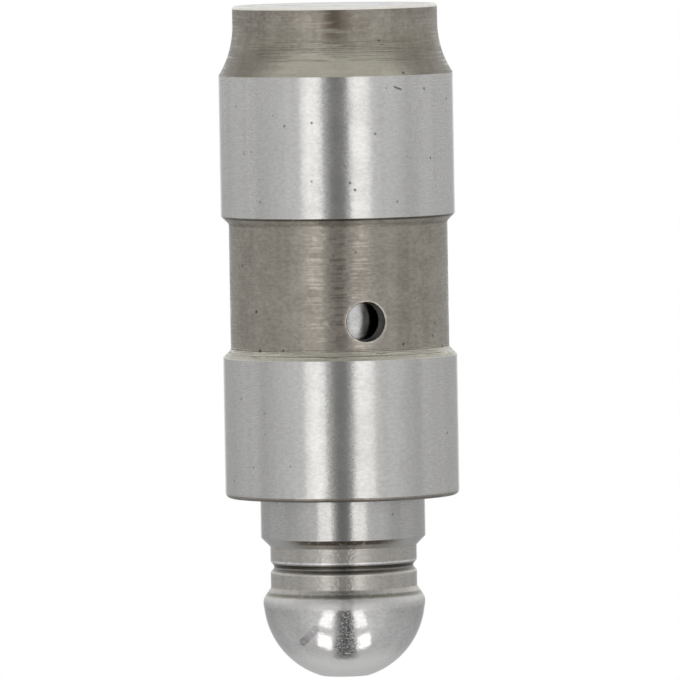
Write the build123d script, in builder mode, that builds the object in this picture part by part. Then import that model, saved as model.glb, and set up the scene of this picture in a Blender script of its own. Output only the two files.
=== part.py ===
from build123d import *
from math import cos, pi, radians, sin, sqrt, tan
import os

# Hydraulic tappet with a ball head, in millimetres.
# +Z is the tappet's own axis. The closed end stands on the plane z = 0 and the ball is on top.
# The plunger is modelled fully extended, held by the retaining ring.

# Driving sizes: housing, outside
guide_diameter = 12.0
housing_length = 25.2
foot_neck_inset = 0.75
foot_neck_length = 1.0
foot_curve_length = 2.55
foot_rim_break = 0.15
foot_land_length = 7.2
oil_groove_depth = 0.4
oil_groove_length = 7.25
groove_shoulder_angle = 45
mouth_edge_break = 0.25

# Driving sizes: housing, inside
bore_diameter = 8.5
foot_thickness = 2.5
bore_corner_break = 0.2
mouth_chamfer = 0.2
feed_hole_diameter = 2.0
feed_hole_from_mouth_land = 1.95

# Driving sizes: retaining ring and its groove
ring_thickness = 0.7
ring_width = 0.7
ring_from_mouth = 3.8
ring_bite = 0.4
ring_opening_angle = 30
ring_seat_clearance = 0.05
ring_stop_clearance = 0.03

# Driving sizes: both plungers
running_clearance = 0.025
plunger_edge_break = 0.15

# Driving sizes: upper plunger, in the bore
seat_land_length = 1.0
plunger_groove_depth = 0.575
plunger_groove_length = 5.6
stop_land_length = 0.6
relief_depth = 0.725
relief_length = 3.6
cross_hole_diameter = 1.6
reservoir_wall = 1.2
reservoir_end_below_ball = 1.3
drill_point_angle = 118
jet_hole_diameter = 1.2
jet_hole_countersink = 0.15

# Driving sizes: upper plunger, neck and ball head
shank_length = 2.64
neck_inset = 0.475
neck_length = 2.1
neck_shoulder_angle = 45
clip_groove_from_shoulder = 1.04
clip_groove_width = 0.55
clip_groove_depth = 0.18
clip_groove_flank_angle = 50
ball_overhang = 0.4
ball_centre_above_neck = 0.62
flare_angle = 34
flare_round = 0.6
ball_flat_diameter = 2.55

# Driving sizes: lower plunger and check valve
lower_plunger_length = 4.8
cavity_diameter = 5.2
cavity_depth = 2.8
check_ball_diameter = 3.0
valve_seat_angle = 45
valve_seat_inner_band = 0.11
valve_seat_outer_band = 0.29
valve_seat_clearance = 0.02
valve_lift = 0.3
valve_lift_clearance = 0.02

# Driving sizes: valve cage, drawn from sheet
cage_sheet = 0.3
cage_ball_clearance = 0.3
cage_rim_wall = 0.375
cage_rim_clearance = 0.05
cage_bend = 0.2
cage_slot_count = 3
cage_slot_width = 0.9
cage_vent_diameter = 1.2

# Driving sizes: springs
check_spring_wire = 0.16
check_spring_turns = 2.5
check_spring_tip_diameter = 1.5
check_spring_clearance = 0.01
check_spring_side_clearance = 0.1
return_spring_wire = 0.8
return_spring_turns = 4.25
return_spring_end_turns = 0.75
return_spring_side_clearance = 0.25
coil_steps_per_turn = 16
wire_sides = 8

# Radii
guide_radius = guide_diameter / 2
foot_neck_radius = guide_radius - foot_neck_inset
oil_groove_radius = guide_radius - oil_groove_depth
bore_radius = bore_diameter / 2
plunger_radius = bore_radius - running_clearance
plunger_groove_radius = plunger_radius - plunger_groove_depth
relief_radius = plunger_radius - relief_depth
reservoir_radius = relief_radius - reservoir_wall
jet_hole_radius = jet_hole_diameter / 2
neck_radius = plunger_radius - neck_inset
ball_head_radius = neck_radius + ball_overhang
clip_groove_radius = neck_radius - clip_groove_depth
ball_flat_radius = ball_flat_diameter / 2
cavity_radius = cavity_diameter / 2
check_ball_radius = check_ball_diameter / 2

# Heights of the housing's outside, from the closed end up
foot_land_start = foot_neck_length + foot_curve_length
oil_groove_start = foot_land_start + foot_land_length
oil_groove_end = oil_groove_start + oil_groove_length
groove_shoulder = oil_groove_depth / tan(radians(groove_shoulder_angle))
feed_hole_z = oil_groove_end - feed_hole_from_mouth_land

# Ring, in a groove of the bore near the mouth
ring_z = housing_length - ring_from_mouth
ring_outer_radius = bore_radius + ring_bite
ring_centre_radius = ring_outer_radius - ring_width / 2
ring_groove_radius = ring_outer_radius + ring_seat_clearance
ring_groove_width = ring_thickness + 2 * ring_seat_clearance

# Heights of the upper plunger, all hung from the shoulder that the ring stops
stop_z = ring_z - ring_thickness / 2 - ring_stop_clearance
plunger_groove_end = stop_z - stop_land_length
plunger_groove_start = plunger_groove_end - plunger_groove_length
seat_z = plunger_groove_start - seat_land_length
relief_end = stop_z + relief_length
shank_end = relief_end + shank_length
neck_start = shank_end + neck_inset / tan(radians(neck_shoulder_angle))
neck_end = neck_start + neck_length
clip_groove_z = neck_start + clip_groove_from_shoulder
clip_groove_flank = clip_groove_depth * tan(radians(clip_groove_flank_angle))
ball_centre_z = neck_end + ball_centre_above_neck
ball_top = ball_centre_z + sqrt(ball_head_radius**2 - ball_flat_radius**2)
drill_point_height = (reservoir_radius - jet_hole_radius) / tan(radians(drill_point_angle / 2))
reservoir_end = ball_centre_z - reservoir_end_below_ball

# The flare is a cone that runs into the ball: its line meets the sphere at this height
flare_slope = tan(radians(flare_angle))
flare_square = 1 + flare_slope**2
flare_linear = neck_radius * flare_slope - ball_centre_above_neck
flare_constant = neck_radius**2 + ball_centre_above_neck**2 - ball_head_radius**2
flare_height = (sqrt(flare_linear**2 - flare_square * flare_constant) - flare_linear) / flare_square
flare_end_z = neck_end + flare_height
flare_end_radius = neck_radius + flare_height * flare_slope

# Heights of the lower plunger and its check valve, below the upper plunger's seat face
lower_plunger_start = seat_z - lower_plunger_length
cage_rim_radius = plunger_radius - cage_rim_wall
valve_face_z = lower_plunger_start + cage_sheet
seat_half_angle = radians(valve_seat_angle)
seat_contact_radius = check_ball_radius * cos(seat_half_angle)
seat_inner_radius = seat_contact_radius - valve_seat_inner_band
seat_outer_radius = seat_contact_radius + valve_seat_outer_band
seat_depth = (seat_outer_radius - seat_inner_radius) / tan(seat_half_angle)
seat_apex_z = valve_face_z + seat_outer_radius / tan(seat_half_angle)
ball_to_apex = (check_ball_radius + valve_seat_clearance) / sin(seat_half_angle)
check_ball_z = seat_apex_z - ball_to_apex
cage_floor_z = check_ball_z - check_ball_radius - valve_lift - valve_lift_clearance
cage_bottom_z = cage_floor_z - cage_sheet
cage_inner_radius = check_ball_radius + cage_ball_clearance
cage_outer_radius = cage_inner_radius + cage_sheet

# Spring sizes
return_spring_radius = bore_radius - return_spring_side_clearance - return_spring_wire / 2
return_spring_height = lower_plunger_start - foot_thickness
check_spring_base_radius = (
    cage_inner_radius - cage_bend - check_spring_side_clearance - check_spring_wire / 2
)
check_spring_tip_radius = check_spring_tip_diameter / 2
check_spring_reach = check_ball_radius + check_spring_wire / 2 + check_spring_clearance
check_spring_tip_z = check_ball_z - sqrt(check_spring_reach**2 - check_spring_tip_radius**2)


def circles_at(part, radius):
    """The circular edges of this radius."""
    circles = part.edges().filter_by(GeomType.CIRCLE)
    return circles.filter_by(lambda edge: abs(edge.radius - radius) < 0.001)


def coil_path(turns, radius_at, height_at):
    """Points along a coil, with its radius and height given as functions of the turn."""
    steps = round(turns * coil_steps_per_turn)
    points = []
    for step in range(steps + 1):
        turn = turns * step / steps
        angle = 2 * pi * turn
        points.append(
            (radius_at(turn) * cos(angle), radius_at(turn) * sin(angle), height_at(turn))
        )
    return points


# Housing: the turned cup, its outside in one profile from the closed end to the mouth
with BuildPart() as housing:
    with BuildSketch(Plane.XZ):
        with BuildLine():
            Polyline((0, 0), (foot_neck_radius, 0), (foot_neck_radius, foot_neck_length))
            TangentArc(
                (foot_neck_radius, foot_neck_length), (guide_radius, foot_land_start), tangent=(0, 1)
            )
            Polyline(
                (guide_radius, foot_land_start),
                (guide_radius, oil_groove_start),
                (oil_groove_radius, oil_groove_start + groove_shoulder),
                (oil_groove_radius, oil_groove_end - groove_shoulder),
                (guide_radius, oil_groove_end),
                (guide_radius, housing_length),
                (0, housing_length),
                (0, 0),
            )
        make_face()
    revolve(axis=Axis.Z)
    chamfer(circles_at(housing, foot_neck_radius).sort_by(Axis.Z)[0], foot_rim_break)
    chamfer(circles_at(housing, guide_radius).sort_by(Axis.Z)[-1], mouth_edge_break)

    # Bore, blind at the foot
    with BuildSketch(Plane.XY.offset(foot_thickness)):
        Circle(bore_radius)
    extrude(amount=housing_length - foot_thickness, mode=Mode.SUBTRACT)
    chamfer(circles_at(housing, bore_radius).sort_by(Axis.Z)[0], bore_corner_break)
    chamfer(circles_at(housing, bore_radius).sort_by(Axis.Z)[-1], mouth_chamfer)

    # Groove that the retaining ring springs into
    with BuildSketch(Plane.XY.offset(ring_z)):
        Circle(ring_groove_radius)
    extrude(amount=ring_groove_width / 2, both=True, mode=Mode.SUBTRACT)

    # Oil feed hole from the outer groove into the bore
    with BuildSketch(Plane.XZ):
        with Locations((0, feed_hole_z)):
            Circle(feed_hole_diameter / 2)
    extrude(amount=guide_diameter, mode=Mode.SUBTRACT)
housing.part.label = "housing"

# Retaining ring: square wire, open at the back
with BuildPart() as retaining_ring:
    ring_start = Plane.XZ.rotated((0, 0, 90 + ring_opening_angle / 2))
    with BuildSketch(ring_start):
        with Locations((ring_centre_radius, ring_z)):
            Rectangle(ring_width, ring_thickness)
    revolve(axis=Axis.Z, revolution_arc=360 - ring_opening_angle)
retaining_ring.part.label = "retaining_ring"

# Upper plunger: lands and groove in the bore, then shank, neck, flare and ball head
with BuildPart() as upper_plunger:
    with BuildSketch(Plane.XZ):
        with BuildLine():
            Polyline(
                (0, seat_z),
                (plunger_radius, seat_z),
                (plunger_radius, plunger_groove_start),
                (plunger_groove_radius, plunger_groove_start),
                (plunger_groove_radius, plunger_groove_end),
                (plunger_radius, plunger_groove_end),
                (plunger_radius, stop_z),
                (relief_radius, stop_z),
                (relief_radius, relief_end),
                (plunger_radius, relief_end),
                (plunger_radius, shank_end),
                (neck_radius, neck_start),
                (neck_radius, clip_groove_z - clip_groove_width / 2),
                (clip_groove_radius, clip_groove_z - clip_groove_width / 2 + clip_groove_flank),
                (clip_groove_radius, clip_groove_z + clip_groove_width / 2 - clip_groove_flank),
                (neck_radius, clip_groove_z + clip_groove_width / 2),
                (neck_radius, neck_end),
                (flare_end_radius, flare_end_z),
            )
            ThreePointArc(
                (flare_end_radius, flare_end_z),
                (ball_head_radius * cos(pi / 4), ball_centre_z + ball_head_radius * sin(pi / 4)),
                (ball_flat_radius, ball_top),
            )
            Polyline((ball_flat_radius, ball_top), (0, ball_top), (0, seat_z))
        make_face()
    revolve(axis=Axis.Z)
    fillet(circles_at(upper_plunger, flare_end_radius), flare_round)
    chamfer(circles_at(upper_plunger, plunger_radius).sort_by(Axis.Z)[0], plunger_edge_break)

    # Oil reservoir, drilled from below, and the jet hole through the ball's flat
    with BuildSketch(Plane.XZ):
        with BuildLine():
            Polyline(
                (0, seat_z),
                (reservoir_radius, seat_z),
                (reservoir_radius, reservoir_end),
                (jet_hole_radius, reservoir_end + drill_point_height),
                (jet_hole_radius, ball_top - jet_hole_countersink),
                (jet_hole_radius + jet_hole_countersink, ball_top),
                (0, ball_top),
                (0, seat_z),
            )
        make_face()
    revolve(axis=Axis.Z, mode=Mode.SUBTRACT)

    # Cross hole from the plunger's groove into the reservoir, on the side away from the feed hole
    with BuildSketch(Plane.XZ):
        with Locations((0, (plunger_groove_start + plunger_groove_end) / 2)):
            Circle(cross_hole_diameter / 2)
    extrude(amount=-bore_radius, mode=Mode.SUBTRACT)
upper_plunger.part.label = "upper_plunger"

# Lower plunger: oil cavity above, valve seat below, and a recess for the cage's flange
with BuildPart() as lower_plunger:
    with BuildSketch(Plane.XY.offset(lower_plunger_start)):
        Circle(plunger_radius)
    extrude(amount=lower_plunger_length)
    chamfer(circles_at(lower_plunger, plunger_radius), plunger_edge_break)
    with BuildSketch(Plane.XY.offset(seat_z)):
        Circle(cavity_radius)
    extrude(amount=-cavity_depth, mode=Mode.SUBTRACT)
    with BuildSketch(Plane.XY.offset(lower_plunger_start)):
        Circle(cage_rim_radius)
    extrude(amount=cage_sheet, mode=Mode.SUBTRACT)
    with BuildSketch(Plane.XZ):
        with BuildLine():
            Polyline(
                (0, valve_face_z),
                (seat_outer_radius, valve_face_z),
                (seat_inner_radius, valve_face_z + seat_depth),
                (seat_inner_radius, seat_z),
                (0, seat_z),
                (0, valve_face_z),
            )
        make_face()
    revolve(axis=Axis.Z, mode=Mode.SUBTRACT)
lower_plunger.part.label = "lower_plunger"

# Check ball, closed on its seat
with BuildPart() as check_ball:
    with BuildSketch(Plane.XZ):
        with BuildLine():
            CenterArc((0, check_ball_z), check_ball_radius, -90, 180)
            Line((0, check_ball_z + check_ball_radius), (0, check_ball_z - check_ball_radius))
        make_face()
    revolve(axis=Axis.Z)
check_ball.part.label = "check_ball"

# Valve cage: a cup pressed from sheet, with a flange, vent slots and a hole in its floor
with BuildPart() as valve_cage:
    with BuildSketch(Plane.XZ):
        with BuildLine():
            Polyline(
                (0, cage_bottom_z),
                (cage_outer_radius, cage_bottom_z),
                (cage_outer_radius, lower_plunger_start),
                (cage_rim_radius - cage_rim_clearance, lower_plunger_start),
                (cage_rim_radius - cage_rim_clearance, valve_face_z),
                (cage_inner_radius, valve_face_z),
                (cage_inner_radius, cage_floor_z),
                (0, cage_floor_z),
                (0, cage_bottom_z),
            )
        make_face()
    revolve(axis=Axis.Z)
    inner_bends = [
        circles_at(valve_cage, cage_inner_radius).sort_by(Axis.Z)[0],
        circles_at(valve_cage, cage_outer_radius).sort_by(Axis.Z)[-1],
    ]
    chamfer(inner_bends, cage_bend)
    outer_bends = [
        circles_at(valve_cage, cage_inner_radius).sort_by(Axis.Z)[-1],
        circles_at(valve_cage, cage_outer_radius).sort_by(Axis.Z)[0],
    ]
    chamfer(outer_bends, cage_bend + cage_sheet / 2)

    # Vent slots between the bends, and the hole in the floor
    slot_low = cage_floor_z + cage_bend
    slot_high = lower_plunger_start - cage_bend
    with BuildSketch(Plane.XY.offset(slot_low)):
        with PolarLocations(cage_outer_radius, cage_slot_count):
            Rectangle(2 * cage_outer_radius, cage_slot_width)
    extrude(amount=slot_high - slot_low, mode=Mode.SUBTRACT)
    with BuildSketch(Plane.XY.offset(cage_bottom_z)):
        Circle(cage_vent_diameter / 2)
    extrude(amount=cage_sheet, mode=Mode.SUBTRACT)
valve_cage.part.label = "valve_cage"

# Check spring: a conical coil whose turns nest when the ball lifts.
# Both springs' wire is drawn with flats, which keeps their many turns light.
with BuildPart() as check_spring:
    base_z = cage_floor_z + check_spring_wire / 2
    with BuildLine() as check_coil:
        check_curve = Polyline(
            coil_path(
                check_spring_turns,
                lambda turn: check_spring_base_radius
                + (check_spring_tip_radius - check_spring_base_radius) * turn / check_spring_turns,
                lambda turn: base_z + (check_spring_tip_z - base_z) * turn / check_spring_turns,
            )
        )
    with BuildSketch(Plane(origin=check_curve @ 0, z_dir=check_curve % 0)):
        RegularPolygon(check_spring_wire / 2, wire_sides, major_radius=False)
    sweep(path=check_coil.wires()[0], transition=Transition.RIGHT)
check_spring.part.label = "check_spring"


def return_spring_rise(turn):
    """Height of the wire's centre: close turns at both ends, open turns between them."""
    tip_z = foot_thickness - return_spring_wire / 4
    open_turns = return_spring_turns - 2 * return_spring_end_turns
    open_turn = min(max(turn - return_spring_end_turns, 0), open_turns)
    close_turn = turn - open_turn
    total_rise = return_spring_height + return_spring_wire / 2
    open_pitch = (total_rise - 2 * return_spring_end_turns * return_spring_wire) / open_turns
    return tip_z + close_turn * return_spring_wire + open_turn * open_pitch


# Return spring: closed ends, ground flat on the housing's floor and under the lower plunger
with BuildPart() as return_spring:
    with BuildLine() as return_coil:
        return_curve = Polyline(
            coil_path(return_spring_turns, lambda turn: return_spring_radius, return_spring_rise)
        )
    with BuildSketch(Plane(origin=return_curve @ 0, z_dir=return_curve % 0)):
        RegularPolygon(return_spring_wire / 2, wire_sides, major_radius=False)
    sweep(path=return_coil.wires()[0], transition=Transition.RIGHT)
    with BuildSketch(Plane.XY.offset(foot_thickness)):
        Circle(bore_radius)
    extrude(amount=return_spring_height, mode=Mode.INTERSECT)
return_spring.part.label = "return_spring"

os.makedirs("parts", exist_ok=True)
export_step(housing.part, "parts/housing.step")
export_step(retaining_ring.part, "parts/retaining_ring.step")
export_step(upper_plunger.part, "parts/upper_plunger.step")
export_step(lower_plunger.part, "parts/lower_plunger.step")
export_step(check_ball.part, "parts/check_ball.step")
export_step(valve_cage.part, "parts/valve_cage.step")
export_step(check_spring.part, "parts/check_spring.step")
export_step(return_spring.part, "parts/return_spring.step")
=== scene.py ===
from functools import reduce
from math import asin, atan2, ceil, cos, degrees, pi, radians, sin, sqrt, tan

import bmesh
import bpy
import numpy as np
from mathutils import Matrix, Vector


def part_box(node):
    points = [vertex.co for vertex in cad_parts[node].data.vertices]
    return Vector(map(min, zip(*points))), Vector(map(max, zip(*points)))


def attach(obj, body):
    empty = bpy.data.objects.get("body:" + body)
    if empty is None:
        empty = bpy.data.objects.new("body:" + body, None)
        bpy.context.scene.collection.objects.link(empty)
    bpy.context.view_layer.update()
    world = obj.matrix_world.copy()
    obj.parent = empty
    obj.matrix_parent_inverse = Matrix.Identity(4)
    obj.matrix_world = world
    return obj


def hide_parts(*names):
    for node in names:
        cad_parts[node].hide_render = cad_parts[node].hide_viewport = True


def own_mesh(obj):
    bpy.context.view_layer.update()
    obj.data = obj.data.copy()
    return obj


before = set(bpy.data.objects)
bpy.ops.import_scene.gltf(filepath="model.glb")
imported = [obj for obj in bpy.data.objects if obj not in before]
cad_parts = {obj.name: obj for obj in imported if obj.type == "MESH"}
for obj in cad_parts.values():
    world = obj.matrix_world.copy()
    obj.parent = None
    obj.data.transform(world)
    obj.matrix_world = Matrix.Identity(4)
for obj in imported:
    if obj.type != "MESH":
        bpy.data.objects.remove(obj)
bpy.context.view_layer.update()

# Outlines are written in millimetres, as (radius, height), and become metres in the meshes
MM = 0.001

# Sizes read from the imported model
housing_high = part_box("housing")[1]
upper_low, upper_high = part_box("upper_plunger")
guide_radius = housing_high.x / MM
housing_length = housing_high.z / MM
plunger_radius = upper_high.x / MM
seat_z = upper_low.z / MM
ball_top = upper_high.z / MM
lower_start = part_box("lower_plunger")[0].z / MM
cage_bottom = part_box("valve_cage")[0].z / MM

# Rounds that several pieces have
edge_round = 0.05
small_round = 0.1
end_round = 0.15

# Housing
foot_neck_radius = guide_radius - 0.75
foot_neck_length = 1.0
foot_land_start = 3.55
foot_rim_round = 0.16
oil_groove_start = 10.75
oil_groove_end = 18.0
oil_groove_depth = 0.4
oil_groove_radius = guide_radius - oil_groove_depth
groove_root_round = 0.22
mouth_round = 0.3
bore_mouth_round = 0.2
bore_radius = 4.25
bore_floor = 2.5
bore_corner_round = 0.2
ring_groove_radius = 4.7
ring_groove_low = 21.0
ring_groove_high = 21.8
feed_hole_radius = 1.0
feed_hole_z = 16.05
feed_hole_facing = -90
deburr = 0.09

# Upper plunger
stop_z = 21.02
plunger_groove_radius = plunger_radius - 0.575
plunger_groove_start = seat_z + 1.0
plunger_groove_end = stop_z - 0.6
relief_radius = plunger_radius - 0.725
relief_end = stop_z + 3.6
shank_end = 27.26
neck_radius = plunger_radius - 0.475
neck_finish_start = shank_end + 0.01
neck_start = 27.735
neck_end = 29.835
neck_round = 0.12
clip_groove_z = 28.775
clip_groove_half = 0.275
clip_groove_root_half = 0.06
clip_groove_radius = neck_radius - 0.18
clip_groove_round = 0.16
ball_radius = neck_radius + 0.4
ball_z = 30.455
flare_angle = radians(34)
flare_round = 0.6
ball_flat_radius = 1.275
ball_finish_start = 30.28
reservoir_radius = 2.3
reservoir_end = 29.155
drill_point = 1.02
jet_radius = 0.6
jet_mouth_round = 0.12
cross_hole_radius = 0.8
cross_hole_z = (plunger_groove_start + plunger_groove_end) / 2
cross_hole_facing = 90

# Lower plunger, valve cage and check ball
cavity_radius = 2.6
cavity_floor = seat_z - 2.8
cavity_round = 0.3
cage_sheet = 0.3
cage_rim_radius = plunger_radius - 0.375
cage_flange_radius = cage_rim_radius - 0.05
cage_inner_radius = 1.8
cage_bend = 0.2
cage_vent_radius = 0.6
cage_slot_width = 0.9
cage_slots = 3
cage_slot_round = 0.08
contact_gap = 0.01
valve_face_z = lower_start + cage_sheet
seat_outer_radius = 1.35
seat_inner_radius = 0.95
check_ball_radius = 1.5
check_ball_z = 8.521

# Springs and retaining ring
return_wire = 0.8
return_coil_radius = 3.6
return_turns = 4.25
return_end_turns = 0.75
check_wire = 0.16
check_base_radius = 1.42
check_tip_radius = 0.75
check_turns = 2.5
ring_z = 21.4
ring_centre_radius = 4.3
ring_half = 0.35
ring_round = 0.08
ring_opening = 30

# Mesh fineness
columns = 256
port_half = 14
port_reach = 1.3
port_rings = 6
port_start = -135
lip_steps = 4
arc_step = radians(9)
support = 0.02
coil_steps = 72
wire_points = 24
check_ball_steps = 48
sharp_angle = radians(28)
weld = 0.0005
tiny = 1e-6

# How far an outline's point may lie off a surface and still take its finish
skin = 0.02
near = 0.001
shank_skin = 0.1


def unit(vector):
    """The vector at length one."""
    return vector / np.linalg.norm(vector)


def rounded(corners):
    """Outline through corners (radius, height, round), with an arc at each and a row beside its ends."""
    spots = [np.array(corner[:2], float) for corner in corners]
    count = len(corners)
    reach = [0.0] * count
    half = [0.0] * count
    for index in range(1, count - 1):
        before = unit(spots[index - 1] - spots[index])
        after = unit(spots[index + 1] - spots[index])
        half[index] = np.arccos(np.clip(before @ after, -1, 1)) / 2
        reach[index] = corners[index][2] / tan(half[index])
    points = []
    for index, here in enumerate(spots):
        if reach[index] == 0:
            points.append(tuple(here))
            continue
        before = unit(spots[index - 1] - here)
        after = unit(spots[index + 1] - here)
        centre = here + unit(before + after) * corners[index][2] / sin(half[index])
        start = here + before * reach[index]
        end = here + after * reach[index]
        if np.linalg.norm(spots[index - 1] - start) - reach[index - 1] > 3 * support:
            points.append(tuple(start + before * support))
        turn = pi - 2 * half[index]
        steps = max(3, ceil(turn / arc_step))
        for step in range(steps + 1):
            share = step / steps
            weight_start = sin((1 - share) * turn) / sin(turn)
            weight_end = sin(share * turn) / sin(turn)
            points.append(tuple(centre + (start - centre) * weight_start + (end - centre) * weight_end))
        if np.linalg.norm(spots[index + 1] - end) - reach[index + 1] > 3 * support:
            points.append(tuple(end + after * support))
    return points


def arc(centre, radius, start, end, steps):
    """Outline points on an arc between two angles in degrees, measured from the radius axis."""
    angles = [radians(start + (end - start) * step / steps) for step in range(steps + 1)]
    return [(centre[0] + radius * cos(angle), centre[1] + radius * sin(angle)) for angle in angles]


def with_port_rows(outline, radius, centre_z):
    """The outline with even rows where a hole goes through its wall, and the first of these rows."""
    rows = [centre_z + port_reach * step / port_half for step in range(-port_half, port_half + 1)]
    for index in range(len(outline) - 1):
        low, high = outline[index], outline[index + 1]
        on_wall = abs(low[0] - radius) < tiny and abs(high[0] - radius) < tiny
        if on_wall and min(low[1], high[1]) < rows[0] and max(low[1], high[1]) > rows[-1]:
            if low[1] > high[1]:
                rows.reverse()
            return outline[: index + 1] + [(radius, z) for z in rows] + outline[index + 1 :], index + 1
    raise ValueError("no wall of radius %s holds the hole's rows" % radius)


def with_port(outline, walls, z, radius, facing, around):
    """The outline ready for a cross hole through both walls, and what add_port needs to make the hole."""
    rows = []
    for wall in walls:
        outline, first = with_port_rows(outline, wall, z)
        rows.append(first)
    return outline, {"rows": rows, "z": z, "radius": radius, "facing": radians(facing), "around": around}


def place(across, out, z, facing):
    """A point given across and out from the axis in the direction a hole faces."""
    return (out * cos(facing) - across * sin(facing), out * sin(facing) + across * cos(facing), z)


def add_band(faces, slots, first, second, slot):
    """Faces between two loops with the same number of points."""
    for step in range(len(first)):
        beside = (step + 1) % len(first)
        faces.append([first[step], first[beside], second[beside], second[step]])
        slots.append(slot)


def port_border(first, rising, rings):
    """The vertices round the square that is left open for a hole, from its lowest left corner."""
    side = range(2 * port_half)
    border = [(-port_half, -port_half + step) for step in side]
    border += [(-port_half + step, port_half) for step in side]
    border += [(port_half, port_half - step) for step in side]
    border += [(port_half - step, -port_half) for step in side]
    loop = []
    for row, column in border:
        ring = first + port_half + row if rising else first + port_half - row
        loop.append(rings[ring][column % columns])
    return loop


def hole_circle(hole, count):
    """Points round a hole's circle, as (across, rise)."""
    angles = [radians(port_start) + 2 * pi * step / count for step in range(count)]
    return [(hole * cos(angle), hole * sin(angle)) for angle in angles]


def add_port(port, outline, rings, vertices, faces, slots):
    """A cross hole: both walls run evenly into its edge, which is rounded outside, and a wall joins them."""
    facing = port["facing"]
    mouths = []
    for first, wide in zip(port["rows"], (deburr, 0.0)):
        radius = outline[first][0]
        border = port_border(first, outline[first + 1][1] > outline[first][1], rings)
        starts = []
        for vertex in border:
            x, y, z = vertices[vertex]
            starts.append((-x * sin(facing) + y * cos(facing), z - port["z"]))
        circle = hole_circle(port["radius"] + wide, len(border))
        previous = border
        for ring in range(1, port_rings + 1):
            share = ring / port_rings
            current = []
            for start, end in zip(starts, circle):
                across, rise = [low * (1 - share) + high * share for low, high in zip(start, end)]
                current.append(len(vertices))
                vertices.append(place(across, sqrt(radius**2 - across**2), port["z"] + rise, facing))
            add_band(faces, slots, previous, current, port["around"])
            previous = current
        mouths.append(previous)
    outer_radius = outline[port["rows"][0]][0]
    previous = mouths[0]
    for lip_step in range(1, lip_steps + 1):
        turn = pi / 2 * lip_step / lip_steps
        wide = deburr * (1 - sin(turn))
        deep = deburr * (1 - cos(turn))
        current = []
        for across, rise in hole_circle(port["radius"] + wide, len(previous)):
            current.append(len(vertices))
            vertices.append(place(across, sqrt(outer_radius**2 - across**2) - deep, port["z"] + rise, facing))
        add_band(faces, slots, previous, current, "edge")
        previous = current
    add_band(faces, slots, previous, mouths[1], "drilled")


def turned(name, outline, slot_of, port=None):
    """A turned piece: the outline spun about Z, open or closed, with at most one cross hole."""
    facing = port["facing"] if port else 0.0
    vertices, faces, slots, rings = [], [], [], []
    for radius, z in outline:
        if radius < tiny:
            rings.append([len(vertices)] * columns)
            vertices.append((0, 0, z))
            continue
        rings.append(list(range(len(vertices), len(vertices) + columns)))
        for column in range(columns):
            angle = facing + 2 * pi * column / columns
            vertices.append((radius * cos(angle), radius * sin(angle), z))

    is_ring = outline[0][0] > tiny
    port_rows = set()
    if port:
        for first in port["rows"]:
            port_rows.update(range(first, first + 2 * port_half))
    for low in range(len(outline) if is_ring else len(outline) - 1):
        high = (low + 1) % len(outline)
        middle_radius = (outline[low][0] + outline[high][0]) / 2
        middle_z = (outline[low][1] + outline[high][1]) / 2
        slot = slot_of(middle_radius, middle_z)
        for column in range(columns):
            in_port = column < port_half or column >= columns - port_half
            if low in port_rows and in_port:
                continue
            beside = (column + 1) % columns
            corners = [rings[low][column], rings[low][beside], rings[high][beside], rings[high][column]]
            faces.append(list(dict.fromkeys(corners)))
            slots.append(slot)
    if port:
        add_port(port, outline, rings, vertices, faces, slots)
    return finished(name, vertices, faces, slots)


def swept(name, spots, section_at, slot):
    """A wire along spots: section_at gives the section's points at each spot, as (out from the axis, up)."""
    vertices, rings = [], []
    for index, (radius, angle, z) in enumerate(spots):
        ring = []
        for out, up in section_at(index):
            ring.append(len(vertices))
            vertices.append(((radius + out) * cos(angle), (radius + out) * sin(angle), z + up))
        rings.append(ring)
    faces, slots = [], []
    for first, second in zip(rings, rings[1:]):
        add_band(faces, slots, first, second, slot)
    faces += [rings[0], rings[-1]]
    slots += [slot, slot]
    return finished(name, vertices, faces, slots)


def placed(name, data):
    """A new object in the scene."""
    thing = bpy.data.objects.new(name, data)
    bpy.context.scene.collection.objects.link(thing)
    return thing


def finished(name, vertices, faces, slots):
    """The object: millimetres to metres, normals outward, smooth but for edges past the sharp angle."""
    mesh = bpy.data.meshes.new(name)
    mesh.from_pydata([tuple(value * MM for value in vertex) for vertex in vertices], [], faces)
    used = sorted(set(slots))
    for slot in used:
        mesh.materials.append(materials[slot])
    for polygon, slot in zip(mesh.polygons, slots):
        polygon.material_index = used.index(slot)
    work = bmesh.new()
    work.from_mesh(mesh)
    bmesh.ops.recalc_face_normals(work, faces=work.faces)
    work.to_mesh(mesh)
    work.free()
    mesh.shade_smooth()
    mesh.set_sharp_from_angle(angle=sharp_angle)
    return placed(name, mesh)


def stands_for(piece, node, body):
    """Hands a piece over: it rides on the body and takes the place of the node, which is hidden."""
    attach(piece, body)
    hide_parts(node)


# Directions of the photograph's view, which the marks and the light are set by
camera_azimuth = radians(14.1)
camera_elevation = radians(-2.72)
level_to_camera = Vector((sin(camera_azimuth), -cos(camera_azimuth), 0))
photo_right = Vector((-cos(camera_azimuth), -sin(camera_azimuth), 0))


def on_surface(bearing, z, radius):
    """The point at this height and radius, bearing degrees to the photo's right of its middle line."""
    turn = radians(bearing)
    spot = level_to_camera * cos(turn) + photo_right * sin(turn)
    return (spot.x * radius, spot.y * radius, z)


def on_ball(bearing, z):
    """The point on the ball head at this bearing and height."""
    return on_surface(bearing, z, sqrt(ball_radius**2 - (z - ball_z) ** 2))


# Materials
materials = {}


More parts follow.
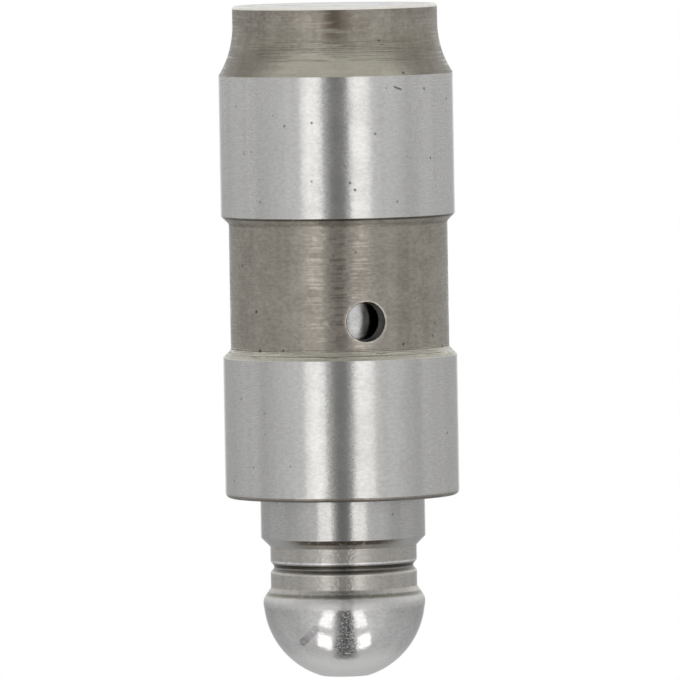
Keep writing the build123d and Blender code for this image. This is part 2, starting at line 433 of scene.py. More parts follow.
class Nodes:
    """Short calls for building the node tree of a material or world."""

    def __init__(self, owner):
        owner.use_nodes = True
        self.tree = owner.node_tree
        self.tree.nodes.clear()

    def add(self, kind, inputs=None, **settings):
        """A node with its settings, and its inputs as values or as other nodes' sockets."""
        node = self.tree.nodes.new(kind)
        for name, value in settings.items():
            setattr(node, name, value)
        for name, value in (inputs or {}).items():
            if isinstance(value, bpy.types.NodeSocket):
                self.tree.links.new(value, node.inputs[name])
            else:
                node.inputs[name].default_value = value
        return node

    def math(self, operation, first, second=0.0, third=0.0):
        inputs = {0: first, 1: second, 2: third}
        return self.add("ShaderNodeMath", inputs, operation=operation).outputs[0]

    def product(self, *values):
        return reduce(lambda first, second: self.math("MULTIPLY", first, second), values)

    def total(self, *values):
        return reduce(lambda first, second: self.math("ADD", first, second), values)

    def highest(self, *values):
        return reduce(lambda first, second: self.math("MAXIMUM", first, second), values)

    def ramp(self, value, low, high, to_low=0.0, to_high=1.0):
        inputs = {"Value": value, "From Min": low, "From Max": high, "To Min": to_low, "To Max": to_high}
        return self.add("ShaderNodeMapRange", inputs, interpolation_type="SMOOTHSTEP").outputs["Result"]

    def band(self, value, centre, half, soft):
        """One within half of the centre, falling to nothing over soft."""
        away = self.math("ABSOLUTE", self.math("SUBTRACT", value, centre))
        return self.ramp(away, half + soft, half)

    def vectors(self, operation, first, second):
        return self.add("ShaderNodeVectorMath", {0: first, 1: second}, operation=operation)

    def dot(self, vector, direction):
        return self.vectors("DOT_PRODUCT", vector, direction).outputs["Value"]

    def scaled(self, vector, scale):
        return self.vectors("MULTIPLY", vector, scale).outputs["Vector"]


class Look(Nodes):
    """A material on its way: the spot in millimetres, and the colour, roughness and bumps so far."""

    def __init__(self, material, colour, roughness):
        super().__init__(material)
        self.spot = self.scaled(self.add("ShaderNodeTexCoord").outputs["Object"], (1 / MM, 1 / MM, 1 / MM))
        self.base = (*colour, 1)
        self.rough = roughness
        self.normal = None

    def cover(self, colour, *shares):
        """Lays a colour over the base, as much as the product of the shares says."""
        inputs = {"Factor": self.product(*shares), "A": self.base, "B": (*colour, 1)}
        self.base = self.add("ShaderNodeMix", inputs, data_type="RGBA").outputs["Result"]

    def roughen(self, share, most):
        self.rough = self.math("MULTIPLY_ADD", share, most, self.rough)

    def bump(self, height, depth):
        """Depth is in millimetres."""
        inputs = {"Distance": depth * MM, "Height": height}
        if self.normal is not None:
            inputs["Normal"] = self.normal
        self.normal = self.add("ShaderNodeBump", inputs).outputs["Normal"]

    def noise(self, size, detail=2.0, roughness=0.5, place=None):
        """Noise of one size, or of a size along each axis."""
        place = place or self.spot
        if isinstance(size, tuple):
            place = self.scaled(place, [1 / length for length in size])
            size = 1.0
        inputs = {"Vector": place, "Scale": 1 / size, "Detail": detail, "Roughness": roughness}
        return self.add("ShaderNodeTexNoise", inputs).outputs["Fac"]

    def height(self):
        return self.dot(self.spot, (0, 0, 1))

    def distance(self, place):
        return self.vectors("DISTANCE", self.spot, place).outputs["Value"]

    def in_front(self, radius, low, high):
        """Rises from nothing to one between two shares of the radius toward the photograph's side."""
        return self.ramp(self.dot(self.spot, level_to_camera), low * radius, high * radius)

    def pits(self, radius, places):
        """Pits on a surface of this radius, at (bearing, height, size)."""
        found = []
        for bearing, z, size in places:
            away = self.distance(on_surface(bearing, z, radius))
            found.append(self.ramp(away, 1.35 * size, 0.5 * size))
        return self.highest(*found)

    def scratch(self, start, end, width):
        """A scratch between two points."""
        start, end = Vector(start), Vector(end)
        run = (end - start).normalized()
        middle = (start + end) / 2
        along = self.math("ABSOLUTE", self.math("SUBTRACT", self.dot(self.spot, run), middle.dot(run)))
        past = self.highest(self.math("SUBTRACT", along, (end - start).length / 2), 0.0)
        whole_square = self.math("POWER", self.distance(middle), 2.0)
        side_square = self.math("SUBTRACT", whole_square, self.math("POWER", along, 2.0))
        side = self.math("SQRT", self.highest(side_square, 0.0))
        return self.ramp(self.total(side, past), 1.3 * width, 0.5 * width)


def steel(
    name, colour, shade, roughness, ridges=None, streaks=(1.0, 0.12, 0.002), grain=(0.13, 0.004),
    mottle=0.5, anisotropic=0.0, specks=0.0, marks=None,
):
    """Steel that runs from its colour to its shade in grains and blotches.

    streaks are fine tool marks that run round the Z axis, as (length, pitch, depth), and ridges the
    burnished tops among them, as (length, pitch). grain is (size, depth), and mottle its share of the
    shading. specks is the share of small cells that hold a dark pit. marks adds what only this finish has.
    """
    material = bpy.data.materials.new(name)
    look = Look(material, colour, 0.875 * roughness)
    length, pitch, streak_depth = streaks
    grain_size, grain_depth = grain
    lines = look.noise((length, length, pitch), 2.0, 0.6)
    grains = look.noise(grain_size, 2.0, 0.6, look.scaled(look.spot, (0.6, 0.6, 1.0)))
    bands = look.noise(1.0, 2.0, 0.6, look.scaled(look.spot, (1.5, 1.5, 0.03)))
    clouds = look.noise(1.6, 5.0, 0.6)

    blotches = look.total(look.ramp(clouds, 0.35, 0.65), look.ramp(bands, 0.35, 0.65))
    share = look.product(blotches, (1 - mottle) / 2)
    look.cover(shade, look.math("MULTIPLY_ADD", look.ramp(grains, 0.3, 0.7), mottle, share))
    look.roughen(look.ramp(clouds, 0.3, 0.7), 0.25 * roughness)
    look.bump(lines, streak_depth)
    look.bump(grains, grain_depth)
    if ridges:
        length, pitch = ridges
        tops = look.ramp(look.noise((length, length, pitch), 1.0), 0.46, 0.62)
        burnished = look.product(tops, look.ramp(look.noise(0.6, 1.0), 0.33, 0.55))
        look.rough = look.product(look.rough, look.math("MULTIPLY_ADD", burnished, -0.4, 1.0))
    if specks:
        cells = look.add("ShaderNodeTexVoronoi", {"Vector": look.spot, "Scale": 1 / speck_spacing}).outputs
        chosen = look.math("GREATER_THAN", look.dot(cells["Color"], (1, 0, 0)), 1 - specks)
        look.cover(speck_colour, chosen, look.ramp(cells["Distance"], 0.16, 0.07), 0.6)
    if marks:
        marks(look)

    inputs = {"Metallic": 1.0, "Base Color": look.base, "Roughness": look.rough, "Normal": look.normal}
    if anisotropic:
        tangent = look.add("ShaderNodeTangent", direction_type="RADIAL", axis="Z")
        inputs["Anisotropic"] = anisotropic
        inputs["Anisotropic Rotation"] = 0.25
        inputs["Tangent"] = tangent.outputs["Tangent"]
    shader = look.add("ShaderNodeBsdfPrincipled", inputs)
    look.add("ShaderNodeOutputMaterial", {"Surface": shader.outputs["BSDF"]})
    materials[name] = material


# Places of the marks: heights and sizes in millimetres, bearings in degrees to the photo's right. Pits are
# given as (bearing, height, size)
speck_spacing = 0.55
speck_colour = (0.10, 0.09, 0.08)
pit_colour = (0.05, 0.045, 0.04)
land_pits = (
    (48.5, 4.27, 0.07), (69.9, 4.84, 0.08), (25.3, 4.17, 0.04),
    (-12.1, 5.86, 0.07), (-26.2, 6.02, 0.06), (19.1, 6.48, 0.06),
    (52.5, 7.81, 0.07), (-12.6, 8.84, 0.05), (6.1, 8.94, 0.07),
    (8.5, 9.3, 0.08), (-58.1, 5.04, 0.05), (-46.6, 7.35, 0.05),
    (-57.9, 19.97, 0.06), (64.1, 21.92, 0.07), (-49.0, 23.46, 0.05),
    (-66.8, 24.23, 0.06),
)
groove_pits = (
    (-49.2, 15.51, 0.09), (-46.7, 17.5, 0.1), (35.1, 17.25, 0.07),
    (68.6, 17.5, 0.1), (-61.5, 13.2, 0.07), (-31.1, 17.46, 0.06),
    (58.0, 16.9, 0.06), (60.0, 16.3, 0.06),
)
foot_neck_pits = ((24.8, 1.76, 0.05),)
flare_pits = ((35.5, 3.4, 0.1),)
land_scratch = ((29.7, 4.12), (33.6, 4.26))
worn_ring_radius = 2.7
outer_ring_radius = 4.5
turning_lines = (1.82, 2.0, 2.16, 2.36, 2.54, 2.72, 17.5, 17.66, 17.82)
# Dirt and painted shade in the clip groove, as (height from its middle, half height, share)
clip_groove_dirt_and_shade = ((-0.1, 0.07, 0.97), (0.02, 0.06, 0.6), (0.13, 0.05, 0.75))
ball_streak_bearing = 2.0
ball_streak = (31.2, 32.65, 32.9)
ball_smudge_z = 30.5
ball_dark_streak = ((-21.4, 31.75), (-38.3, 32.56))


def ground_marks(look):
    """The lands' pits and one short scratch."""
    start, end = [on_surface(bearing, z, guide_radius) for bearing, z in land_scratch]
    found = look.highest(look.pits(guide_radius, land_pits), look.scratch(start, end, 0.05))
    look.cover(pit_colour, found, 0.78)


def foot_marks(look):
    """Turning rings on the closed end, two worn rings and a painted highlight on its rounded rim."""
    flat = look.scaled(look.spot, (1, 1, 0))
    radius = look.vectors("DISTANCE", flat, (0, 0, 0)).outputs["Value"]
    ragged = look.noise(1.4, 3.0, 0.6)
    along_radius = look.add("ShaderNodeCombineXYZ", {"X": radius}).outputs["Vector"]
    rings = look.noise(0.16, 2.0, 0.6, along_radius)
    look.cover((0.50, 0.49, 0.47), look.ramp(rings, 0.4, 0.65), 0.3)
    look.bump(rings, 0.006)
    worn = look.band(radius, worn_ring_radius, 0.15, 0.35)
    look.cover((0.20, 0.195, 0.19), worn, look.ramp(ragged, 0.25, 0.6), 0.6)
    outer = look.band(radius, outer_ring_radius, 0.15, 0.35)
    look.cover((0.26, 0.25, 0.24), outer, look.ramp(ragged, 0.65, 0.35), 0.45)
    # Painted highlight: the rounded rim is painted pale
    rim_highlight = look.ramp(radius, foot_neck_radius - foot_rim_round, foot_neck_radius - foot_rim_round / 2)
    look.cover((0.80, 0.77, 0.69), rim_highlight, 0.3)


def turned_marks(look):
    """Turning lines, a stain and pits, with painted highlights on the flare's front and the groove's far
    shoulder, and painted shade at the foot neck's sides, the groove's edge and root and the mouth.
    """
    z = look.height()
    ragged = look.noise(0.35, 4.0, 0.7)
    fine = look.noise(0.12, 3.0, 0.7)
    broken = look.noise((2.0, 2.0, 0.25))

    before_land = look.ramp(z, foot_land_start + 0.1, foot_land_start)
    # Painted highlight: the flare is painted paler toward the front, where the soft boxes are
    flare = look.product(look.ramp(z, 1.9, 2.7), before_land)
    in_front = look.in_front(foot_neck_radius, 0.72, 1.05)
    look.cover((0.40, 0.385, 0.32), flare, in_front, 0.8, look.ramp(fine, 0.15, 0.5))
    # Painted shade: the foot's neck is darker at its sides than in front
    side = look.math("SUBTRACT", 1.0, look.in_front(foot_neck_radius, 0.72, 1.02))
    look.cover((0.16, 0.145, 0.12), side, look.ramp(z, 1.2, 2.4), before_land, 0.7)
    look.roughen(look.ramp(z, 2.0, 1.6), 0.08)
    greenish = look.band(z, 1.75, 0.35, 0.4)
    look.cover((0.24, 0.235, 0.18), greenish, look.ramp(ragged, 0.3, 0.6), 0.35)
    in_front = look.in_front(foot_neck_radius, 0.5, 0.95)
    stain = look.product(look.band(look.dot(look.spot, photo_right), 0.0, 0.05, 0.95), in_front)
    look.cover((0.13, 0.105, 0.08), stain, look.ramp(z, 2.3, 1.1), look.ramp(broken, 0.3, 0.55), 0.9)

    # Painted shade: a dark line where the land ends at the oil groove
    edge = look.band(z, oil_groove_start + 0.07, 0.035, 0.03)
    look.cover((0.07, 0.06, 0.05), edge, look.ramp(ragged, 0.25, 0.4), 0.9)
    # Painted shade in the oil groove's root corner
    corner = look.band(z, oil_groove_start + oil_groove_depth - 0.02, 0.05, 0.08)
    look.cover((0.16, 0.14, 0.115), corner, look.ramp(fine, 0.3, 0.6), 0.5)
    # Painted highlight on the oil groove's far shoulder
    shoulder_highlight = look.ramp(z, oil_groove_end - 0.55, oil_groove_end - 0.38)
    shoulder_highlight = look.product(shoulder_highlight, look.ramp(z, oil_groove_end + 0.1, oil_groove_end))
    look.cover((0.50, 0.485, 0.42), shoulder_highlight, look.ramp(fine, 0.2, 0.5), 0.75)
    # Painted shade at the rounded mouth, round the gap to the plunger
    mouth_shade = look.ramp(z, housing_length - 0.16, housing_length - 0.08)
    look.cover((0.12, 0.11, 0.10), mouth_shade, 0.8)
    found = look.highest(
        look.pits(guide_radius - 0.03, flare_pits),
        look.pits(foot_neck_radius + 0.07, foot_neck_pits),
        look.pits(oil_groove_radius, groove_pits),
    )
    look.cover(pit_colour, found, 0.85)

    lines = look.highest(*[look.band(z, line_z, 0.02, 0.04) for line_z in turning_lines])
    lined = look.highest(in_front, look.ramp(z, foot_land_start, oil_groove_start))
    look.bump(look.product(lines, look.ramp(broken, 0.35, 0.55), lined), 0.045)


def neck_marks(look):
    """A brown chamfer under the shank, a clip groove darkened by dirt and painted shade with painted
    highlights on its lips, a dark line in the flare.
    """
    z = look.height()
    ragged = look.noise(0.3, 4.0, 0.7)
    chamfer = look.band(z, (shank_end + neck_start) / 2, 0.21, 0.05)
    in_front = look.in_front(neck_radius, 0.6, 1.0)
    look.cover((0.42, 0.415, 0.40), chamfer, look.math("SUBTRACT", 1.0, in_front))
    look.cover((0.21, 0.185, 0.155), chamfer, in_front, 0.6)
    line = look.product(look.band(z, shank_end + 0.13, 0.07, 0.08), look.ramp(ragged, 0.3, 0.5))
    look.cover((0.07, 0.055, 0.04), line, look.in_front(neck_radius, 0.75, 1.03), 0.9)

    # Painted highlights on the clip groove's two lips
    lip_highlight = look.band(z, clip_groove_z - clip_groove_half - 0.03, 0.03, 0.03)
    look.cover((0.88, 0.88, 0.9), lip_highlight, look.ramp(ragged, 0.3, 0.5), 0.6)
    lip_highlight = look.band(z, clip_groove_z + clip_groove_half + 0.03, 0.03, 0.03)
    look.cover((0.72, 0.69, 0.61), lip_highlight, 0.35)
    # Dirt and painted shade darken the clip groove
    for offset, half, share in clip_groove_dirt_and_shade:
        look.cover((0.06, 0.055, 0.045), look.band(z, clip_groove_z + offset, half, 0.04), share)
    line = look.band(z, neck_end + 0.3, 0.045, 0.07)
    look.cover((0.13, 0.13, 0.10), line, look.ramp(ragged, 0.2, 0.45), 0.75)


def ball_marks(look):
    """A dull band where the ball begins, a paler end, a worn streak down its front and a dark streak on its
    left.
    """
    z = look.height()
    ragged = look.noise(0.25, 4.0, 0.7)
    fine = look.noise(0.1, 3.0, 0.7)
    dull = look.ramp(look.math("MULTIPLY_ADD", ragged, 0.5, z), 31.2, 30.9)
    look.roughen(dull, 0.36)
    look.cover((0.62, 0.615, 0.60), dull, look.ramp(fine, 0.2, 0.5), 0.4)
    look.cover((0.80, 0.79, 0.775), look.ramp(z, 32.7, 33.6), 0.6)
    smudge = look.ramp(look.distance(on_ball(ball_streak_bearing, ball_smudge_z)), 0.5, 0.2)
    look.cover((0.17, 0.165, 0.165), smudge, look.ramp(ragged, 0.3, 0.55), 0.3)

    # A darker streak on the ball's left, beside its left highlight
    start, end = [on_ball(bearing, mark_z) for bearing, mark_z in ball_dark_streak]
    dark_streak = look.math("SUBTRACT", look.scratch(start, end, 0.28), ragged)
    dark_streak = look.product(look.ramp(dark_streak, 0.15, 0.65), look.ramp(fine, 0.15, 0.5))
    look.cover((0.16, 0.145, 0.155), dark_streak, look.ramp(look.distance(end), 0.8, 0.1, 0.4, 0.85))

    start, wide, end = [on_ball(ball_streak_bearing, mark_z) for mark_z in ball_streak]
    worn = look.highest(look.scratch(start, end, 0.45), look.ramp(look.distance(wide), 0.85, 0.5))
    worn = look.product(worn, look.ramp(ragged, 0.28, 0.48))
    look.cover((0.12, 0.115, 0.125), look.ramp(fine, 0.46, 0.6), worn, 0.7)
    look.roughen(look.product(look.ramp(fine, 0.46, 0.34), worn), 0.35)


steel(
    "ground", (0.60, 0.595, 0.58), (0.49, 0.48, 0.465), 0.25, streaks=(0.35, 0.09, 0.005),
    grain=(0.13, 0.0018), mottle=0.55, anisotropic=0.8, specks=0.07, marks=ground_marks,
)
steel(
    "turned", (0.38, 0.35, 0.305), (0.24, 0.218, 0.187), 0.44, ridges=(3.0, 0.085),
    streaks=(1.3, 0.11, 0.012), grain=(0.16, 0.006), anisotropic=0.7, specks=0.07, marks=turned_marks,
)
# The closed end's steel is painted much paler than the rest, a painted highlight that makes its thin edge-on
# sliver read bright
steel("foot", (0.86, 0.85, 0.83), (0.72, 0.70, 0.67), 0.22, streaks=(0.5, 0.5, 0.001), marks=foot_marks)
steel("bored", (0.42, 0.41, 0.40), (0.34, 0.33, 0.32), 0.3)
steel("inner", (0.46, 0.46, 0.46), (0.30, 0.30, 0.30), 0.24, anisotropic=0.5)
steel("drilled", (0.24, 0.225, 0.21), (0.14, 0.13, 0.12), 0.35)
steel("edge", (0.64, 0.61, 0.56), (0.28, 0.25, 0.22), 0.3, grain=(0.3, 0.004), mottle=0.6)
steel(
    "shank", (0.53, 0.525, 0.515), (0.43, 0.42, 0.41), 0.21, streaks=(0.35, 0.09, 0.006),
    grain=(0.12, 0.0022), anisotropic=0.8, specks=0.03,
)
steel(
    "neck", (0.48, 0.46, 0.435), (0.36, 0.34, 0.315), 0.36, streaks=(1.0, 0.12, 0.008),
    grain=(0.13, 0.02), anisotropic=0.6, marks=neck_marks,
)
steel(
    "ball", (0.61, 0.60, 0.59), (0.48, 0.47, 0.465), 0.14, streaks=(0.5, 0.5, 0.0),
    grain=(0.15, 0.004), mottle=0.55, specks=0.03, marks=ball_marks,
)
steel("bearing", (0.74, 0.74, 0.74), (0.66, 0.66, 0.66), 0.08, streaks=(0.5, 0.5, 0.0), grain=(0.13, 0.0))
steel("spring", (0.38, 0.37, 0.35), (0.26, 0.25, 0.23), 0.35, streaks=(0.3, 0.3, 0.002))
steel("pressed", (0.54, 0.53, 0.50), (0.43, 0.42, 0.39), 0.38, streaks=(0.4, 0.4, 0.001))


# Housing: the turned cup
def housing_slot(radius, z):
    """Which finish the housing has at a point of its outline."""
    on_land = foot_land_start < z < oil_groove_start or z > oil_groove_end
    if radius > guide_radius - skin and on_land:
        return "ground"
    if z < foot_rim_round:
        return "foot"
    if z > bore_floor - near and radius < ring_groove_radius + near:
        return "bored"
    return "turned"


curve_rise = foot_land_start - foot_neck_length
curve_inset = guide_radius - foot_neck_radius
curve_radius = (curve_inset**2 + curve_rise**2) / (2 * curve_inset)
curve_turn = degrees(asin(curve_rise / curve_radius))
curve_centre = (foot_neck_radius + curve_radius, foot_neck_length)
curve_steps = 24

housing_outline = rounded(
    [
        (0, 0, 0),
        (foot_neck_radius, 0, foot_rim_round),
        (foot_neck_radius, foot_neck_length, 0),
    ]
)
housing_outline += arc(curve_centre, curve_radius, 180, 180 - curve_turn, curve_steps)[1:-1]
housing_outline += rounded(
    [
        (guide_radius, foot_land_start, 0),
        (guide_radius, oil_groove_start, edge_round),
        (oil_groove_radius, oil_groove_start + oil_groove_depth, groove_root_round),
        (oil_groove_radius, oil_groove_end - oil_groove_depth, groove_root_round),
        (guide_radius, oil_groove_end, edge_round),
        (guide_radius, housing_length, mouth_round),
        (bore_radius, housing_length, bore_mouth_round),
        (bore_radius, ring_groove_high, edge_round),
        (ring_groove_radius, ring_groove_high, small_round),
        (ring_groove_radius, ring_groove_low, small_round),
        (bore_radius, ring_groove_low, edge_round),
        (bore_radius, bore_floor, bore_corner_round),
        (0, bore_floor, 0),
    ]
)
feed_walls = (oil_groove_radius, bore_radius)
housing_outline, feed_hole = with_port(
    housing_outline, feed_walls, feed_hole_z, feed_hole_radius, feed_hole_facing, "turned"
)
housing = turned("housing_body", housing_outline, housing_slot, feed_hole)
stands_for(housing, "housing", "housing")


# Upper plunger: shank, neck and ball head in one piece
def upper_slot(radius, z):
    """Which finish the upper plunger has at a point of its outline."""
    if radius < reservoir_radius + near and z < reservoir_end + drill_point:
        return "bored"
    if radius < jet_radius + near:
        return "drilled"
    if z > ball_finish_start:
        return "ball"
    if z > neck_finish_start:
        return "neck"
    if radius < plunger_radius - shank_skin:
        return "inner"
    return "shank"


flare_slope = tan(flare_angle)
drop = ball_z - neck_end
linear = neck_radius * flare_slope - drop
constant = neck_radius**2 + drop**2 - ball_radius**2
flare_rise = (sqrt(linear**2 - (1 + flare_slope**2) * constant) - linear) / (1 + flare_slope**2)
flare_meets_ball = (neck_radius + flare_rise * flare_slope, neck_end + flare_rise)

# The flare's round touches the cone and the ball from inside
cone_direction = np.array((sin(flare_angle), cos(flare_angle)))
cone_inward = np.array((-cos(flare_angle), sin(flare_angle)))
ball_centre = np.array((0.0, ball_z))
cone_foot = np.array((neck_radius, neck_end))
to_line = (cone_foot + cone_inward * flare_round) - ball_centre
along_line = to_line @ cone_direction
reach_square = (ball_radius - flare_round) ** 2
slide = -along_line + sqrt(along_line**2 - (to_line @ to_line - reach_square))
round_centre = cone_foot + cone_inward * flare_round + cone_direction * slide
round_start = degrees(atan2(-cone_inward[1], -cone_inward[0]))
ball_touch = unit(round_centre - ball_centre)
round_end = degrees(atan2(ball_touch[1], ball_touch[0]))
flat_angle = degrees(atan2(ball_top - ball_z, ball_flat_radius))
round_steps = 10
ball_steps = 60

upper_outline = rounded(
    [
        (reservoir_radius, seat_z, small_round),
        (plunger_radius, seat_z, end_round),
        (plunger_radius, plunger_groove_start, edge_round),
        (plunger_groove_radius, plunger_groove_start, small_round),
        (plunger_groove_radius, plunger_groove_end, small_round),
        (plunger_radius, plunger_groove_end, edge_round),
        (plunger_radius, stop_z, edge_round),
        (relief_radius, stop_z, small_round),
        (relief_radius, relief_end, small_round),
        (plunger_radius, relief_end, edge_round),
        (plunger_radius, shank_end, edge_round),
        (neck_radius, neck_start, neck_round),
        (neck_radius, clip_groove_z - clip_groove_half, edge_round),
        (clip_groove_radius, clip_groove_z - clip_groove_root_half, clip_groove_round),
        (clip_groove_radius, clip_groove_z + clip_groove_root_half, clip_groove_round),
        (neck_radius, clip_groove_z + clip_groove_half, edge_round),
        (neck_radius, neck_end, neck_round),
        (*flare_meets_ball, 0),
    ]
)[1:-1]
upper_outline += arc(round_centre, flare_round, round_start, round_end, round_steps)
upper_outline += arc((0, ball_z), ball_radius, round_end, flat_angle, ball_steps)[1:]
upper_outline += rounded(
    [
        (ball_flat_radius, ball_top, 0),
        (jet_radius, ball_top, jet_mouth_round),
        (jet_radius, reservoir_end + drill_point, 0),
        (reservoir_radius, reservoir_end, 0),
        (reservoir_radius, seat_z, 0),
    ]
)[1:]
cross_walls = (plunger_groove_radius, reservoir_radius)
upper_outline, cross_hole = with_port(
    upper_outline, cross_walls, cross_hole_z, cross_hole_radius, cross_hole_facing, "shank"
)
upper_plunger = turned("upper_plunger_body", upper_outline, upper_slot, cross_hole)
stands_for(upper_plunger, "upper_plunger", "upper_plunger")

# Lower plunger: a ground barrel with the oil cavity, the valve's seat and the cage's recess
lower_outline = rounded(
    [
        (seat_inner_radius, valve_face_z + seat_outer_radius - seat_inner_radius, 0),
        (seat_outer_radius, valve_face_z, edge_round),
        (cage_rim_radius, valve_face_z, edge_round),
        (cage_rim_radius, lower_start, edge_round),
        (plunger_radius, lower_start, end_round),
        (plunger_radius, seat_z - contact_gap, end_round),
        (cavity_radius, seat_z - contact_gap, small_round),
        (cavity_radius, cavity_floor, cavity_round),
        (seat_inner_radius, cavity_floor, small_round),
        (seat_inner_radius, valve_face_z + seat_outer_radius - seat_inner_radius, 0),
    ]
)[:-1]
lower_plunger = turned(
    "lower_plunger_body", lower_outline, lambda radius, z: "shank" if radius > cage_rim_radius else "bored"
)
stands_for(lower_plunger, "lower_plunger", "lower_plunger")

# Valve cage: pressed from sheet, with round bends
cage_outer_radius = cage_inner_radius + cage_sheet
cage_outline = rounded(
    [
        (cage_vent_radius, cage_bottom, 0),
        (cage_outer_radius, cage_bottom, cage_bend + cage_sheet),
        (cage_outer_radius, lower_start, cage_bend),
        (cage_flange_radius, lower_start, edge_round),
        (cage_flange_radius, valve_face_z, edge_round),
        (cage_inner_radius, valve_face_z, cage_bend + cage_sheet),
        (cage_inner_radius, cage_bottom + cage_sheet, cage_bend),
        (cage_vent_radius, cage_bottom + cage_sheet, 0),
    ]
)
cage = turned("valve_cage_sheet", cage_outline, lambda radius, z: "pressed")

# The cage's slots are cut at the scale of millimetres, where the cut comes out clean
slot_low = cage_bottom + cage_sheet + cage_bend
slot_high = lower_start - cage_bend
slot_depth = 4 * cage_sheet
cutter = bmesh.new()
for index in range(cage_slots):
    turn = Matrix.Rotation(2 * pi * index / cage_slots, 4, "Z")
    middle = Matrix.Translation(((cage_inner_radius + cage_outer_radius) / 2, 0, (slot_low + slot_high) / 2))
    size = Matrix.Diagonal((slot_depth, cage_slot_width, slot_high - slot_low, 1))
    bmesh.ops.create_cube(cutter, size=1.0, matrix=turn @ middle @ size)
bmesh.ops.bevel(cutter, geom=cutter.edges[:], offset=cage_slot_round, segments=3, affect="EDGES")
cutter_mesh = bpy.data.meshes.new("cage_slot_cutter")
cutter.to_mesh(cutter_mesh)
cutter.free()
cutter_object = placed("cage_slot_cutter", cutter_mesh)
cut = cage.modifiers.new("slots", "BOOLEAN")
cut.operation = "DIFFERENCE"
cut.solver = "EXACT"
cut.object = cutter_object
cage.data.transform(Matrix.Scale(1 / MM, 4))
bpy.context.view_layer.update()
slotted = bpy.data.meshes.new_from_object(cage.evaluated_get(bpy.context.evaluated_depsgraph_get()))
cage.modifiers.clear()
cage.data = slotted
bpy.data.objects.remove(cutter_object)
work = bmesh.new()
work.from_mesh(slotted)
bmesh.ops.remove_doubles(work, verts=work.verts, dist=weld)
bmesh.ops.dissolve_degenerate(work, dist=weld, edges=work.edges)
bmesh.ops.triangulate(work, faces=work.faces)
bmesh.ops.scale(work, vec=(MM, MM, MM), verts=work.verts)
work.to_mesh(slotted)
work.free()
stands_for(cage, "valve_cage", "lower_plunger")


# Springs
def wire_section(wire):
    """Points round a wire's section."""
    angles = [2 * pi * step / wire_points for step in range(wire_points)]
    return [(wire / 2 * cos(angle), wire / 2 * sin(angle)) for angle in angles]


def return_rise(turn):
    """Height of the return spring's wire: close turns at both ends, open turns between them."""
    open_turns = return_turns - 2 * return_end_turns
    open_turn = min(max(turn - return_end_turns, 0), open_turns)
    rise = lower_start - bore_floor + return_wire / 2
    open_pitch = (rise - 2 * return_end_turns * return_wire) / open_turns
    start = bore_floor - return_wire / 4
    return start + (turn - open_turn) * return_wire + open_turn * open_pitch


def coil_spots(turns, radius_at, height_at):
    """Places along a coil, as (radius, angle, height)."""
    steps = round(turns * coil_steps)
    spots = []
    for step in range(steps + 1):
        turn = turns * step / steps
        spots.append((radius_at(turn), 2 * pi * turn, height_at(turn)))
    return spots


return_spots = coil_spots(return_turns, lambda turn: return_coil_radius, return_rise)


def ground_section(index):
    """The return spring's section, ground flat at both ends of the coil."""
    centre = return_spots[index][2]
    points = []
    for out, up in wire_section(return_wire):
        for face, side in ((bore_floor - centre, -1), (lower_start - centre, 1)):
            if (up - face) * side > 0:
                half_width = sqrt((return_wire / 2) ** 2 - face**2)
                out = half_width * atan2(out, up * side) / atan2(half_width, face * side)
                up = face
        points.append((out, up))
    return points


return_spring = swept("return_spring_coil", return_spots, ground_section, "spring")
stands_for(return_spring, "return_spring", "housing")
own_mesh(return_spring)

check_base_z = cage_bottom + cage_sheet + check_wire / 2
check_reach = check_ball_radius + check_wire / 2 + contact_gap
check_tip_z = check_ball_z - sqrt(check_reach**2 - check_tip_radius**2)
check_spots = coil_spots(
    check_turns,
    lambda turn: check_base_radius + (check_tip_radius - check_base_radius) * turn / check_turns,
    lambda turn: check_base_z + (check_tip_z - check_base_z) * turn / check_turns,
)
check_spring = swept("check_spring_coil", check_spots, lambda index: wire_section(check_wire), "spring")
stands_for(check_spring, "check_spring", "lower_plunger")
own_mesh(check_spring)

# Retaining ring: square wire with broken corners, open at the back
ring_corners = [
    (-ring_half, 0, 0),
    (-ring_half, -ring_half, ring_round),
    (ring_half, -ring_half, ring_round),
    (ring_half, ring_half, ring_round),
    (-ring_half, ring_half, ring_round),
    (-ring_half, 0, 0),
]
ring_section = rounded(ring_corners)[:-1]
ring_spots = []
for step in range(columns + 1):
    ring_angle = 90 + ring_opening / 2 + (360 - ring_opening) * step / columns
    ring_spots.append((ring_centre_radius, radians(ring_angle), ring_z))
ring = swept("retaining_ring_wire", ring_spots, lambda index: ring_section, "spring")
stands_for(ring, "retaining_ring", "housing")

# Check ball
check_ball_outline = arc((0, check_ball_z), check_ball_radius, -90, 90, check_ball_steps)
check_ball = turned("check_ball_sphere", check_ball_outline, lambda radius, z: "bearing")
stands_for(check_ball, "check_ball", "check_ball")

# Camera at the photograph's viewing angle, turned over so that the ball head points down
photo_size = 680
focal_pixels = 14050
camera_distance = 0.72
lean = radians(0.96)
target_z = 17.2
target = Vector((0, 0, target_z * MM))
to_camera = level_to_camera * cos(camera_elevation) + Vector((0, 0, sin(camera_elevation)))
upright_right = (-to_camera).cross(Vector((0, 0, 1))).normalized()
upright_up = upright_right.cross(-to_camera).normalized()
image_right = -cos(lean) * upright_right + sin(lean) * upright_up
image_up = -cos(lean) * upright_up - sin(lean) * upright_right

camera_data = bpy.data.cameras.new("camera")
camera = placed("camera", camera_data)
camera_data.sensor_width = 36
camera_data.lens = camera_data.sensor_width * focal_pixels / photo_size
camera_data.clip_start = 0.01
camera_data.clip_end = 20
rotation = Matrix((image_right, image_up, to_camera)).transposed()
camera.matrix_world = Matrix.Translation(target + to_camera * camera_distance) @ rotation.to_4x4()
bpy.context.scene.camera = camera

